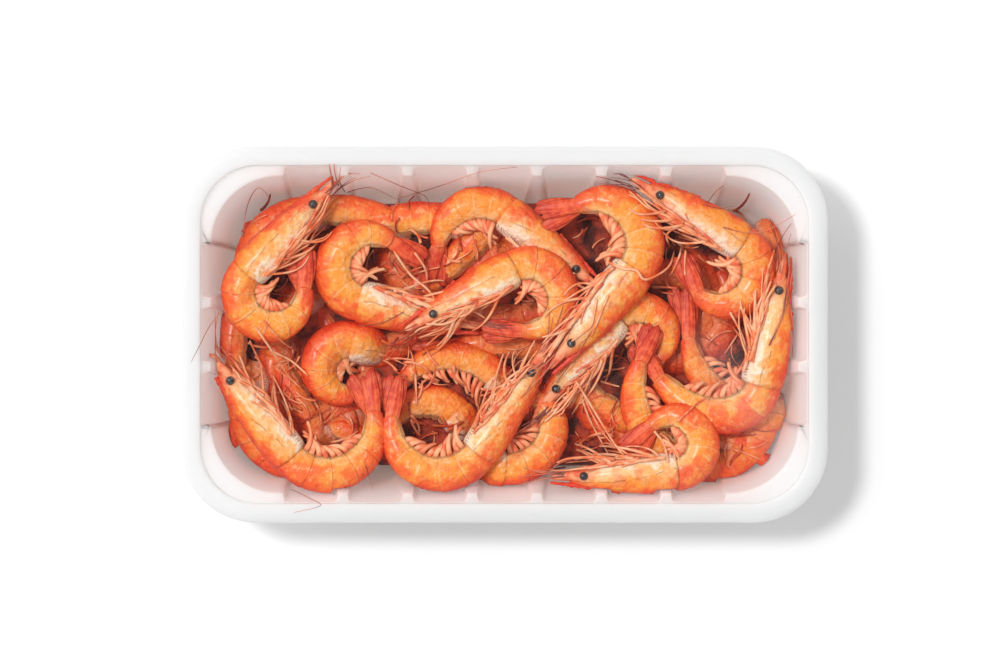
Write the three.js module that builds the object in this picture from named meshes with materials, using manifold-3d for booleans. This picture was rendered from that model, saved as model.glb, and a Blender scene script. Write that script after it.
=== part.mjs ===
// Shallow moulded tray of cooked whole shrimp under a flat clear film.
// Millimetres, +Z up, underside of the tray on z = 0, long side along X.
import * as THREE from 'three';
import { mergeVertices } from 'three/addons/utils/BufferGeometryUtils.js';
import Module from 'manifold-3d';

const wasm = await Module();
wasm.setup();

// ---- driving dimensions: tray ----
const TRAY_LENGTH = 225;
const TRAY_WIDTH = 131;
const TRAY_HEIGHT = 42;
const WALL = 1.2;
const FLANGE_WIDTH = 6.7;
const LIP_DROP = 4.6;
const LIP_CORNER = 26;
const RIM_CORNER = 20;
const LEDGE_WIDTH = 3.5;
const LEDGE_DROP = 2.8;
const LEDGE_CORNER = 24;
const FLOOR_INSET = 9.6;
const FLOOR_CORNER = 14;
const FLOOR_FILLET = 3.6;
const PANEL_PITCH = 22.5;
const PANEL_HALF_TOP = 9;
const PANEL_HALF_FOOT = 6.3;
const PANEL_FOOT_DEPTH = 1;
const PANELS_LONG = 7;
const PANELS_SHORT = 3;
const CORNER_STEPS = 5;

// ---- driving dimensions: film and clearances ----
const FILM_THICKNESS = 0.3;
const FILM_INSET = 0.8;
const FILM_LIFT = 0.02;
const GAP = 0.35;

// ---- driving dimensions: one shrimp at size 1 ----
const TAIL_LENGTH = 47;
const FAN_LENGTH = 17;
const TAIL_STEPS = 24;
const RING_POINTS = 8;
const LOWER_RING_POINTS = 6;
const BLADE_POINTS = 4;
const BELLY_SHARE = 0.94;
// ahead of the neck: distance, half depth, half thickness, shift towards the back
const HEAD_STATIONS = [
  [49, 0.4, 0.35, 1.6],
  [43, 1.7, 1.0, 1.1],
  [37, 3.5, 2.3, 0.5],
  [30, 5.2, 3.9, 0.2],
  [20, 7.0, 5.3, 0],
  [8, 8.0, 6.0, 0],
  [0, 7.5, 5.7, 0],
];
// six tail segments: share of the length at the rear edge, half depth, half thickness
const TAIL_SEGMENTS = [
  [0.17, 7.5, 5.7],
  [0.35, 7.5, 5.6],
  [0.52, 7.0, 5.3],
  [0.68, 6.3, 4.8],
  [0.82, 5.3, 4.0],
  [1.0, 4.0, 3.0],
];
const TAIL_FRONT = [0, 7.4, 5.6];
const SEGMENT_FLARE = 1.03;
const SEGMENT_TUCK = 0.95;
const EYE_RADIUS = 1.9;
const EYE_AHEAD = 36;
const EYE_OUT = 2.7;
const EYE_BACK = -0.3;
// fan blades: turn in degrees, length share, half width, height, slide towards the back
const BLADES = [
  [-9, 1, 2.4, 1.1, 1.0],
  [10, 1, 2.4, -1.1, -1.0],
  [0, 0.86, 1.4, 0, 0.2],
];
const BLADE_HALF_THICK = 0.8;
// along a blade: share of its length, share of its half width
const BLADE_OUTLINE = [
  [-0.12, 0.5],
  [0.62, 1.0],
  [1.0, 0.42],
];

// ---- where each shrimp lies, seen from above, uppermost first ----
// x, y, z: neck, mm. head: heading of the head, degrees. curl: bend of the whole tail, degrees,
// + is anticlockwise. Then scale, tail length share, body depth share, tightening of the curl
// towards the end, turn of the fan, roll towards the back, rise per mm towards the head.
const SHRIMPS = [
  { name: 'shrimp_01', x: 3.3, y: 23.1, z: 33.2, head: 209, curl: -212, size: 0.9, fan: 5 },
  { name: 'shrimp_02', x: 45.0, y: 22.4, z: 33.0, head: 230, curl: 156, size: 0.93, tail: 0.94,
    deep: 1.13, fan: -8 },
  { name: 'shrimp_03', x: -9.2, y: -41.2, z: 33.0, head: 56, curl: -150, size: 0.93 },
  { name: 'shrimp_04', x: 60.0, y: -48.0, z: 33.4, head: 183, curl: 219, size: 0.9, tail: 0.88,
    fan: 8 },
  { name: 'shrimp_05', x: -89.6, y: 21.4, z: 32.6, head: 47, curl: 225, size: 0.92, fan: 5 },
  { name: 'shrimp_06', x: -74.6, y: -42.6, z: 32.8, head: 129, curl: 152, size: 0.94, fan: 5 },
  { name: 'shrimp_07', x: 89.6, y: -17.6, z: 31.6, head: 79, curl: -128, size: 0.93, deep: 1.08,
    hook: -0.7, fan: -5, rise: 0.05 },
  { name: 'shrimp_08', x: 82.8, y: 31.8, z: 32.4, head: 149, curl: -192, size: 0.92, tail: 0.9,
    fan: -20 },
  { name: 'shrimp_09', x: -50.6, y: 11.7, z: 28.0, head: -13, curl: -200, size: 0.88, deep: 1.14,
    fan: 5, rise: -0.05 },
  { name: 'shrimp_10', x: 0.2, y: 42.6, z: 27.0, head: -38, curl: 124, size: 0.88, tail: 0.76,
    fan: -5, rise: 0.06 },
  { name: 'shrimp_11', x: 63.5, y: -43.3, z: 24.5, head: -15, curl: -95, size: 0.88,
    rise: -0.16, hiddenHead: true },
  { name: 'shrimp_12', x: 39.5, y: 5.7, z: 26.2, head: 228.5, curl: -175, size: 0.91, tail: 0.72,
    deep: 0.94, rise: 0.02 },
  { name: 'shrimp_13', x: 0.2, y: -46.4, z: 25.6, head: 176, curl: 168, size: 0.88, tail: 0.95,
    hook: 0.3, hiddenHead: true },
  { name: 'shrimp_14', x: -52.7, y: -2.6, z: 24.6, head: -18, curl: 205, size: 0.86, tail: 0.84,
    deep: 1.14, roll: 20, hiddenHead: true },
  { name: 'shrimp_15', x: -3.3, y: -14.8, z: 22.0, head: -50, curl: 105, size: 0.8,
    hiddenHead: true },
  { name: 'shrimp_16', x: 92.7, y: -27.3, z: 21.0, head: 0, curl: -82, size: 0.88,
    fanShare: 1.35, rise: -0.12, hiddenHead: true },
];

// ---- shrimp of the lower layer that show in the gaps, joined to the layer below ----
// Only the parts that show: tail shells without a head, and a fan where one is seen.
const LOWER = [
  { x: -17.2, y: -28.0, z: 21.5, head: -50, curl: 110, size: 0.85, tail: 0.62 },
  { x: -89.9, y: -21.0, z: 22.0, head: 80, curl: 110, size: 0.92 },
  { x: -70.8, y: 41.9, z: 22.0, head: 5, curl: 110, size: 0.88 },
  { x: -42.6, y: 39.5, z: 22.0, head: -25, curl: 50, size: 0.8 },
  { x: -19.0, y: 39.8, z: 21.5, head: -10, curl: 40, size: 0.82 },
  { x: 90.6, y: -28.7, z: 20.5, head: 80, curl: -100, size: 0.86 },
  { x: -94.0, y: 6.0, z: 22.5, head: 80, curl: 20, size: 0.72 },
  { x: -65.6, y: -33.9, z: 19.5, head: -55, curl: -15, size: 0.7 },
  { x: -51.5, y: -36.5, z: 19.5, head: -30, curl: 10, size: 0.62, tail: 0.4 },
  { x: -4.5, y: 38.5, z: 20.5, head: 43, curl: 4, size: 0.82, tail: 0.86 },
  { x: 28.0, y: -21.0, z: 20.0, head: 145, curl: 15, size: 0.75 },
  { x: 17.6, y: -4.7, z: 20.5, head: -10, curl: 20, size: 0.8 },
  { x: 94.0, y: 30.0, z: 20.5, head: 110, curl: -40, size: 0.75 },
  { x: 80.5, y: -37.5, z: 22.0, head: 150, curl: -6, size: 0.66, tail: 0.3, fan: 8, hasFan: true },
];
const LAYER_TOP = 19.5;

const rad = THREE.MathUtils.degToRad;

// A closed skin from rings of the same number of points, closed at both ends on a middle point.
function loft(rings) {
  const n = rings[0].length;
  const positions = [];
  const index = [];
  for (const ring of rings) {
    for (const p of ring) positions.push(p.x, p.y, p.z);
  }
  const middle = (ring) => {
    const m = new THREE.Vector3();
    for (const p of ring) m.add(p);
    return m.multiplyScalar(1 / ring.length);
  };
  for (let i = 0; i + 1 < rings.length; i += 1) {
    for (let j = 0; j < n; j += 1) {
      const a = i * n + j;
      const b = i * n + (j + 1) % n;
      index.push(a, b, b + n);
      index.push(a, b + n, a + n);
    }
  }
  const first = middle(rings[0]);
  const last = middle(rings[rings.length - 1]);
  const base = positions.length / 3;
  positions.push(first.x, first.y, first.z, last.x, last.y, last.z);
  const end = (rings.length - 1) * n;
  for (let j = 0; j < n; j += 1) {
    index.push(base, (j + 1) % n, j);
    index.push(base + 1, end + j, end + (j + 1) % n);
  }
  const geometry = new THREE.BufferGeometry();
  geometry.setAttribute('position', new THREE.Float32BufferAttribute(positions, 3));
  geometry.setIndex(index);
  return geometry;
}

// A three.js skin as a solid that can be joined and cut.
function solid(geometry) {
  const bare = geometry.clone();
  bare.deleteAttribute('normal');
  bare.deleteAttribute('uv');
  const merged = mergeVertices(bare, 1e-5);
  const vertProperties = new Float32Array(merged.attributes.position.array);
  const triVerts = new Uint32Array(merged.index.array);
  const shape = new wasm.Manifold(new wasm.Mesh({ numProp: 3, vertProperties, triVerts }));
  if (shape.volume() < 0) throw new Error('a skin is inside out');
  return shape;
}

function largest(shape) {
  let best = shape;
  let size = -1;
  for (const piece of shape.decompose()) {
    if (piece.volume() > size) {
      size = piece.volume();
      best = piece;
    }
  }
  return best;
}

function meshOf(name, shape, color, roughness) {
  const data = shape.getMesh();
  const geometry = new THREE.BufferGeometry();
  const positions = new THREE.Float32BufferAttribute(data.vertProperties, 3);
  geometry.setAttribute('position', positions);
  geometry.setIndex(Array.from(data.triVerts));
  geometry.computeVertexNormals();
  const material = new THREE.MeshStandardMaterial({ color, roughness });
  const mesh = new THREE.Mesh(geometry, material);
  mesh.name = name;
  return mesh;
}

// ---- tray ----

// One level ring of a rectangle with round corners, anticlockwise seen from above.
function ring(halfX, halfY, corner, z) {
  const points = [];
  const centres = [[1, 1, 0], [-1, 1, 90], [-1, -1, 180], [1, -1, 270]];
  for (const [sx, sy, start] of centres) {
    for (let i = 0; i <= CORNER_STEPS; i += 1) {
      const a = rad(start + 90 * i / CORNER_STEPS);
      const x = sx * (halfX - corner) + corner * Math.cos(a);
      const y = sy * (halfY - corner) + corner * Math.sin(a);
      points.push(new THREE.Vector3(x, y, z));
    }
  }
  return points;
}

const OUT_X = TRAY_LENGTH / 2;
const OUT_Y = TRAY_WIDTH / 2;
const RIM_X = OUT_X - FLANGE_WIDTH;
const RIM_Y = OUT_Y - FLANGE_WIDTH;
const LEDGE_X = RIM_X - LEDGE_WIDTH;
const LEDGE_Y = RIM_Y - LEDGE_WIDTH;
const FLOOR_X = LEDGE_X - FLOOR_INSET;
const FLOOR_Y = LEDGE_Y - FLOOR_INSET;
const LEDGE_Z = TRAY_HEIGHT - LEDGE_DROP;

// The wall below the ledge: share 0 at the top of the fillet, 1 at the ledge, moved out by `out`.
function wallRing(share, z, out) {
  const x = THREE.MathUtils.lerp(FLOOR_X, LEDGE_X, share) + out;
  const y = THREE.MathUtils.lerp(FLOOR_Y, LEDGE_Y, share) + out;
  return ring(x, y, THREE.MathUtils.lerp(FLOOR_CORNER, LEDGE_CORNER, share) + out, z);
}

function floorRings(out, z) {
  const f = FLOOR_FILLET;
  return [
    ring(FLOOR_X - f * 1.1 + out, FLOOR_Y - f * 1.1 + out, FLOOR_CORNER - f + out, z),
    ring(FLOOR_X - f * 0.4 + out, FLOOR_Y - f * 0.4 + out, FLOOR_CORNER - f * 0.4 + out, z + f * 0.28),
    wallRing(0, z + f, out),
  ];
}

// The inside of the tray as a solid, with its recessed panels left out.
function insideRings(shrink, top) {
  return [
    ...floorRings(-shrink, WALL + shrink),
    wallRing(0.97, LEDGE_Z - 1.1, -shrink),
    wallRing(1, LEDGE_Z, 0.25 - shrink),
    ring(RIM_X - 0.3 - shrink, RIM_Y - 0.3 - shrink, RIM_CORNER, LEDGE_Z + 0.25),
    ring(RIM_X - shrink, RIM_Y - shrink, RIM_CORNER, LEDGE_Z + 0.6),
    ring(RIM_X - shrink, RIM_Y - shrink, RIM_CORNER, TRAY_HEIGHT - 0.6),
    ring(RIM_X + 0.5 - shrink, RIM_Y + 0.5 - shrink, RIM_CORNER + 0.5, top),
  ];
}

function outsideRings() {
  const under = TRAY_HEIGHT - WALL;
  return [
    ...floorRings(WALL, 0),
    wallRing(0.97, LEDGE_Z - 2.2, WALL),
    wallRing(1, LEDGE_Z - 1, WALL),
    ring(RIM_X + WALL, RIM_Y + WALL, RIM_CORNER + WALL, LEDGE_Z - 0.6),
    ring(RIM_X + WALL, RIM_Y + WALL, RIM_CORNER + WALL, under - 0.4),
    ring(RIM_X + WALL + 0.5, RIM_Y + WALL + 0.5, RIM_CORNER + WALL, under),
    ring(OUT_X - WALL - 0.6, OUT_Y - WALL - 0.6, LIP_CORNER - WALL, under),
    ring(OUT_X - WALL, OUT_Y - WALL, LIP_CORNER - WALL, under - 0.8),
    ring(OUT_X - WALL * 0.9, OUT_Y - WALL * 0.9, LIP_CORNER - WALL, TRAY_HEIGHT - LIP_DROP),
    ring(OUT_X - 0.1, OUT_Y - 0.1, LIP_CORNER, TRAY_HEIGHT - LIP_DROP),
    ring(OUT_X, OUT_Y, LIP_CORNER, TRAY_HEIGHT - LIP_DROP + 0.5),
    ring(OUT_X, OUT_Y, LIP_CORNER, TRAY_HEIGHT - 1.8),
    ring(OUT_X - 0.5, OUT_Y - 0.5, LIP_CORNER - 0.3, TRAY_HEIGHT - 0.5),
    ring(OUT_X - 1.7, OUT_Y - 1.7, LIP_CORNER - 1.4, TRAY_HEIGHT),
  ];
}

// One wedge for a recessed panel, on the side whose outward direction is `turn`.
// `far` is how far out the rim line is on that side, `low` the wall line at the floor fillet.
function panel(turn, along, far, low, grow, top) {
  const foot = WALL + FLOOR_FILLET * 0.35 - grow * 0.8;
  const levels = [
    [foot, low + PANEL_FOOT_DEPTH * 0.4 + grow, low - 8, PANEL_HALF_FOOT + grow],
    [WALL + FLOOR_FILLET, low + PANEL_FOOT_DEPTH + grow, low - 8, PANEL_HALF_FOOT + grow],
    [top, far + grow, far - 12, PANEL_HALF_TOP + grow],
  ];
  const a = rad(turn);
  const rings = levels.map(([z, out, inner, half]) => {
    const corners = [[inner, -half], [out, -half], [out, half], [inner, half]];
    return corners.map(([r, t]) => {
      const x = r * Math.cos(a) - (t + along) * Math.sin(a);
      const y = r * Math.sin(a) + (t + along) * Math.cos(a);
      return new THREE.Vector3(x, y, z);
    });
  });
  return solid(loft(rings));
}

function panels(grow, top) {
  let all = null;
  const sides = [
    [0, PANELS_SHORT, RIM_X - 0.15, FLOOR_X],
    [90, PANELS_LONG, RIM_Y - 0.15, FLOOR_Y],
    [180, PANELS_SHORT, RIM_X - 0.15, FLOOR_X],
    [270, PANELS_LONG, RIM_Y - 0.15, FLOOR_Y],
  ];
  for (const [turn, count, far, low] of sides) {
    for (let i = 0; i < count; i += 1) {
      const along = (i - (count - 1) / 2) * PANEL_PITCH;
      const one = panel(turn, along, far, low, grow, top);
      all = all ? all.add(one) : one;
    }
  }
  return all;
}

function tray() {
  const outside = solid(loft(outsideRings()));
  const inside = solid(loft(insideRings(0, TRAY_HEIGHT + 0.001)));
  const backs = panels(WALL, TRAY_HEIGHT - WALL * 0.5);
  return outside.add(backs).subtract(inside).subtract(panels(0, LEDGE_Z + 1.2));
}

// The room the shrimp may fill, a gap inside the tray and below the film.
function room() {
  const rings = insideRings(GAP, TRAY_HEIGHT - GAP);
  return solid(loft(rings)).add(panels(-GAP, LEDGE_Z + 1.2));
}

// ---- shrimp ----

// Stations from the tip of the head to the end of the tail, lying on its side.
function stations(s) {
  const size = s.size;
  const head = rad(s.head);
  const list = [];
  const ahead = s.hiddenHead ? HEAD_STATIONS.slice(-1) : HEAD_STATIONS;
  for (const [distance, depth, thick, shift] of ahead) {
    const run = distance * size;
    const x = s.x + run * Math.cos(head);
    const y = s.y + run * Math.sin(head);
    list.push({ x, y, run, dir: s.head + 180, depth, thick, shift });
  }
  const steps = TAIL_STEPS;
  const stride = TAIL_LENGTH * size * (s.tail ?? 1) / steps;
  const path = [{ x: s.x, y: s.y, dir: s.head + 180 }];
  let { x, y, dir } = path[0];
  for (let i = 0; i < steps; i += 1) {
    const t = (i + 0.5) / steps;
    dir += s.curl / steps * (1 + (s.hook ?? 0) * (2 * t - 1));
    x += stride * Math.cos(rad(dir));
    y += stride * Math.sin(rad(dir));
    path.push({ x, y, dir });
  }
  const at = (share) => {
    const k = Math.min(steps - 1, Math.floor(share * steps));
    const f = share * steps - k;
    const a = path[k];
    const b = path[k + 1];
    return {
      x: a.x + (b.x - a.x) * f,
      y: a.y + (b.y - a.y) * f,
      dir: a.dir + (b.dir - a.dir) * f,
      run: -share * stride * steps,
    };
  };
  let front = TAIL_FRONT;
  for (const segment of TAIL_SEGMENTS) {
    const [start, depth0, thick0] = front;
    const [end, depth1, thick1] = segment;
    const tuck = SEGMENT_TUCK;
    const flare = s.plain ? 1 : SEGMENT_FLARE;
    if (!s.plain) {
      list.push({ ...at(start + 0.012), depth: depth0 * tuck, thick: thick0 * tuck, shift: 0 });
    }
    list.push({ ...at(end - 0.004), depth: depth1 * flare, thick: thick1 * flare, shift: 0 });
    front = segment;
  }
  return { list, end: at(1) };
}

// The frame of one station: towards the back of the shrimp, and up.
function frameAt(s, station) {
  const side = s.curl > 0 ? -90 : 90;
  const a = rad(station.dir + side);
  const roll = rad(s.roll ?? 0);
  const back = new THREE.Vector3(Math.cos(a), Math.sin(a), 0);
  const up = new THREE.Vector3(0, 0, 1);
  const rise = (s.rise ?? 0) * station.run;
  return {
    centre: new THREE.Vector3(station.x, station.y, s.z + rise),
    back: back.clone().multiplyScalar(Math.cos(roll)).addScaledVector(up, Math.sin(roll)),
    side: up.clone().multiplyScalar(Math.cos(roll)).addScaledVector(back, -Math.sin(roll)),
    along: new THREE.Vector3(Math.cos(rad(station.dir)), Math.sin(rad(station.dir)), 0),
  };
}

function bodySkin(s, grow) {
  const deep = s.size * (s.deep ?? 1);
  const rings = stations(s).list.map((station) => {
    const f = frameAt(s, station);
    const points = [];
    const count = s.plain ? LOWER_RING_POINTS : RING_POINTS;
    for (let i = 0; i < count; i += 1) {
      const a = 2 * Math.PI * i / count;
      const c = Math.cos(a);
      const d = station.depth * deep * (c < 0 ? BELLY_SHARE : 1) + grow;
      const w = station.thick * deep + grow;
      const p = f.centre.clone();
      p.addScaledVector(f.back, station.shift * deep + d * c);
      p.addScaledVector(f.side, w * Math.sin(a));
      points.push(p);
    }
    return points;
  });
  return rings;
}

// Rings must run so that the skin faces outwards, whichever way the shrimp curls.
function facing(rings, curl) {
  return curl > 0 ? rings.map((r) => [...r].reverse()) : rings;
}

// The three fan blades that show on a shrimp lying on its side: a tail spine between two lobes.
function fanBlades(s, grow) {
  const { end } = stations(s);
  const size = s.size;
  const length = FAN_LENGTH * size * (s.fanShare ?? 1);
  const blades = [];
  for (const [spread, share, half, lift, slide] of BLADES) {
    const turned = { ...end, dir: end.dir + (s.fan ?? 0) + spread };
    const f = frameAt(s, turned);
    const rings = [];
    for (const [t, w] of BLADE_OUTLINE) {
      const points = [];
      for (let i = 0; i < BLADE_POINTS; i += 1) {
        const a = 2 * Math.PI * i / BLADE_POINTS;
        const p = f.centre.clone().addScaledVector(f.along, t * share * length);
        p.addScaledVector(f.back, slide * size * t + (half * size * w + grow) * Math.cos(a));
        p.addScaledVector(f.side, lift * size + (BLADE_HALF_THICK * size + grow) * Math.sin(a));
        points.push(p);
      }
      rings.push(points);
    }
    blades.push(solid(loft(facing(rings, s.curl))));
  }
  return blades;
}

function eyes(s, grow) {
  const a = rad(s.head);
  const run = EYE_AHEAD * s.size;
  const f = frameAt(s, {
    x: s.x + run * Math.cos(a),
    y: s.y + run * Math.sin(a),
    dir: s.head + 180,
    run,
  });
  const list = [];
  for (const side of [-1, 1]) {
    const ball = new THREE.OctahedronGeometry(EYE_RADIUS * s.size + grow, 0);
    const p = f.centre.clone().addScaledVector(f.side, side * EYE_OUT * s.size);
    p.addScaledVector(f.back, EYE_BACK * s.size);
    ball.translate(p.x, p.y, p.z);
    list.push(solid(ball));
  }
  return list;
}

function shrimp(s, grow = 0) {
  let shape = solid(loft(facing(bodySkin(s, grow), s.curl)));
  if (!s.plain || s.hasFan) {
    for (const blade of fanBlades(s, grow)) shape = shape.add(blade);
  }
  if (!s.hiddenHead) {
    for (const eye of eyes(s, grow)) shape = shape.add(eye);
  }
  return shape;
}

// ---- lower layer ----

// A low rounded bed with the lower shrimp that show in the gaps standing out of it.
function lowerLayer() {
  const inset = 5;
  const rings = [
    ring(FLOOR_X - inset, FLOOR_Y - inset, FLOOR_CORNER - inset, WALL + GAP),
    ring(FLOOR_X - 1, FLOOR_Y - 1, FLOOR_CORNER, WALL + 4),
    ring(FLOOR_X + 1.5, FLOOR_Y + 1.5, FLOOR_CORNER, LAYER_TOP - 3),
    ring(FLOOR_X - 3, FLOOR_Y - 3, FLOOR_CORNER, LAYER_TOP),
  ];
  let shape = solid(loft(rings));
  for (const s of LOWER) shape = shape.add(shrimp({ ...s, hiddenHead: true, plain: true }));
  return shape;
}

function build() {
  const group = new THREE.Group();
  group.name = 'shrimp_tray_pack';
  group.add(meshOf('tray', tray(), 0xf3eded, 0.45));
  const space = room();
  const grown = [];
  for (const s of SHRIMPS) {
    let shape = shrimp(s).intersect(space);
    for (const upper of grown) shape = shape.subtract(upper);
    group.add(meshOf(s.name, largest(shape), 0xf2823e, 0.35));
    grown.push(shrimp(s, GAP));
  }
  let layer = lowerLayer().intersect(space);
  for (const upper of grown) layer = layer.subtract(upper);
  group.add(meshOf('lower_layer', largest(layer), 0xd9572f, 0.4));
  const z = TRAY_HEIGHT + FILM_LIFT;
  const film = [
    ring(OUT_X - FILM_INSET - 1, OUT_Y - FILM_INSET - 1, LIP_CORNER - 1.5, z),
    ring(OUT_X - FILM_INSET - 1, OUT_Y - FILM_INSET - 1, LIP_CORNER - 1.5, z + FILM_THICKNESS),
  ];
  group.add(meshOf('clear_film', solid(loft(film)), 0xf4f4f4, 0.1));
  return group;
}

export default build();
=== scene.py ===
import math
import random
import bmesh
import bpy
from mathutils import Matrix, Vector, bvhtree, noise


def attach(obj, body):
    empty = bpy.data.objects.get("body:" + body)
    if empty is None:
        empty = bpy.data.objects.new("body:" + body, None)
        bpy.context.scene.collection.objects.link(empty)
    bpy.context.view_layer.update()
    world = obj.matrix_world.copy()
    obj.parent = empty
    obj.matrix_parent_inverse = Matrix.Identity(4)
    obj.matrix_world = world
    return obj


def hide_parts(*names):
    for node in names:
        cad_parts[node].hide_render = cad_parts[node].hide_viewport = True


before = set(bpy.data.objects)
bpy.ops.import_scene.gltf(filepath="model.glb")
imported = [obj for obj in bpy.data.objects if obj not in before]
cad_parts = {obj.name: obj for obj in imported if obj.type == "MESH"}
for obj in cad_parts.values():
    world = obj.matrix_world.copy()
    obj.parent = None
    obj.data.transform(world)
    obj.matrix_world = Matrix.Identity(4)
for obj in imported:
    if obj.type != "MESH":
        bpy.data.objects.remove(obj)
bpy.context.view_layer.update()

# -------------------- the studio
# The pack lies on a white table and is seen from straight above. One lamp at the upper left
# throws a short firm shadow, a wide one softens it, and the white room fills the rest.

MM = 0.001
RIM_HEIGHT = 42
VIEW_WIDTH = 347.8
VIEW_CENTRE = (-1.57, 0.52)
CAMERA_RISE = 2500
TABLE_HALF, TABLE_DROP = 3000, 0.2

scene = bpy.context.scene
scene.view_settings.view_transform = "Standard"

camera_data = bpy.data.cameras.new("camera")
camera_data.lens = camera_data.sensor_width * CAMERA_RISE / VIEW_WIDTH
camera_data.clip_end = 20
camera = bpy.data.objects.new("camera", camera_data)
camera.location = Vector((*VIEW_CENTRE, RIM_HEIGHT + CAMERA_RISE)) * MM
scene.collection.objects.link(camera)
scene.camera = camera


def lamp(name, towards, strength, spread):
    """A distant lamp in the direction `towards`, as wide as `spread` degrees."""
    data = bpy.data.lights.new(name, "SUN")
    data.energy = strength
    data.angle = math.radians(spread)
    thing = bpy.data.objects.new(name, data)
    thing.rotation_mode = "QUATERNION"
    thing.rotation_quaternion = Vector(towards).to_track_quat("Z", "Y")
    scene.collection.objects.link(thing)


lamp("key_lamp", (-0.37, 0.19, 1), 1.3, 9)
lamp("wide_lamp", (-0.75, 0.4, 1), 0.6, 45)

world = bpy.data.worlds.new("white_room")
world.use_nodes = True
world.node_tree.nodes["Background"].inputs["Color"].default_value = (1, 1, 1, 1)
world.node_tree.nodes["Background"].inputs["Strength"].default_value = 0.6
scene.world = world


class Value:
    """A number that runs through a material, so that its maths reads as an expression."""

    def __init__(self, finish, socket):
        self.finish, self.socket = finish, socket

    def _math(self, operation, first, second=None):
        values = [first] if second is None else [first, second]
        return self.finish.node("ShaderNodeMath", {"operation": operation}, *values)

    def __add__(self, other):
        return self._math("ADD", self, other)

    def __sub__(self, other):
        return self._math("SUBTRACT", self, other)

    def __rsub__(self, other):
        return self._math("SUBTRACT", other, self)

    def __mul__(self, other):
        return self._math("MULTIPLY", self, other)

    __radd__, __rmul__ = __add__, __mul__

    def __abs__(self):
        return self._math("ABSOLUTE", self)

    def part(self):
        """What is left after the whole number."""
        return self._math("FRACT", self)

    def most(self, other):
        return self._math("MAXIMUM", self, other)

    def rise(self, low, high):
        """0 below `low` and 1 above `high`, smooth between them."""
        settings = {"interpolation_type": "SMOOTHSTEP"}
        links = {"Value": self, "From Min": low, "From Max": high}
        return self.finish.node("ShaderNodeMapRange", settings, out="Result", **links)

    def bump_at(self, middle, width):
        """1 at `middle`, falling to 0 at `width` to either side."""
        return 1 - abs(self - middle).rise(0, width)


class Finish:
    """One material: a Principled shader and the nodes that feed it."""

    def __init__(self, name, **sockets):
        self.material = bpy.data.materials.new(name)
        self.material.use_nodes = True
        self.tree = self.material.node_tree
        self.shader = self.tree.nodes["Principled BSDF"]
        self.feed(self.shader, sockets)

    def feed(self, node, sockets):
        for key, value in sockets.items():
            socket = node.inputs[key]
            if isinstance(value, Value):
                self.tree.links.new(value.socket, socket)
            elif isinstance(value, (tuple, list)) and socket.type == "RGBA" and len(value) == 3:
                socket.default_value = (*value, 1)
            else:
                socket.default_value = value

    def node(self, kind, settings=None, *values, out=0, **sockets):
        """A node of this kind: its settings first, then its sockets by place or by name."""
        made = self.tree.nodes.new(kind)
        for key, value in (settings or {}).items():
            setattr(made, key, value)
        self.feed(made, dict(enumerate(values)))
        self.feed(made, sockets)
        return Value(self, made.outputs[out])

    def place(self):
        return self.node("ShaderNodeTexCoord", out="Object")

    def parts(self, where):
        """The three numbers of a place."""
        split = self.tree.nodes.new("ShaderNodeSeparateXYZ")
        self.feed(split, {0: where})
        return [Value(self, socket) for socket in split.outputs]

    def skin(self):
        """The two numbers of a piece's own map: along it and round it."""
        return self.parts(self.node("ShaderNodeUVMap", {"uv_map": "chart"}))[:2]

    def kept(self, name):
        """A number stored on the mesh."""
        return self.node("ShaderNodeAttribute", {"attribute_name": name}, out="Fac")

    def grain(self, scale, detail=2, stretch=None):
        """Cloudy noise, 0 to 1, with `scale` clouds to the metre."""
        where = self.place()
        if stretch:
            where = self.node("ShaderNodeVectorMath", {"operation": "MULTIPLY"}, where, stretch)
        return self.node("ShaderNodeTexNoise", Vector=where, Scale=scale, Detail=detail)

    def cells(self, scale):
        """Distance to the nearest of many scattered points."""
        return self.node("ShaderNodeTexVoronoi", Vector=self.place(), Scale=scale)

    def mix(self, first, second, share):
        """One colour laid over another."""
        made = self.tree.nodes.new("ShaderNodeMix")
        made.data_type = "RGBA"
        self.feed(made, {0: share, 6: first, 7: second})
        return Value(self, made.outputs[2])

    def coat(self, colour, *above):
        """Colours the shader: one colour, and others laid over it in turn, each by its share."""
        for tint, share in above:
            colour = self.mix(colour, tint, share)
        self.feed(self.shader, {"Base Color": colour})

    def relief(self, height, depth):
        """Fine relief, `depth` metres high."""
        self.feed(self.shader, {"Normal": self.node("ShaderNodeBump", Height=height, Distance=depth)})


def settle(name, bm, materials, sharp=None):
    """A finished mesh as a piece of the pack, smooth but for edges sharper than `sharp` degrees."""
    bmesh.ops.recalc_face_normals(bm, faces=bm.faces)
    mesh = bpy.data.meshes.new(name)
    bm.to_mesh(mesh)
    bm.free()
    mesh.polygons.foreach_set("use_smooth", [True] * len(mesh.polygons))
    if sharp:
        mesh.set_sharp_from_angle(angle=math.radians(sharp))
    for one in materials:
        mesh.materials.append(one)
    thing = bpy.data.objects.new(name, mesh)
    scene.collection.objects.link(thing)
    return thing


table_white = Finish("table_white", **{"Base Color": (0.97, 0.97, 0.97), "Roughness": 0.9})
bm = bmesh.new()
bmesh.ops.create_grid(bm, x_segments=1, y_segments=1, size=TABLE_HALF * MM)
bmesh.ops.translate(bm, verts=bm.verts, vec=(0, 0, -TABLE_DROP * MM))
table = settle("table", bm, [table_white.material])

# -------------------- the tray
# A shallow tray of white foamed plastic, drawn over a mould from one heated sheet: flat flange
# with a turned-down lip, a step inside it, and walls with a row of recessed panels.

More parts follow.
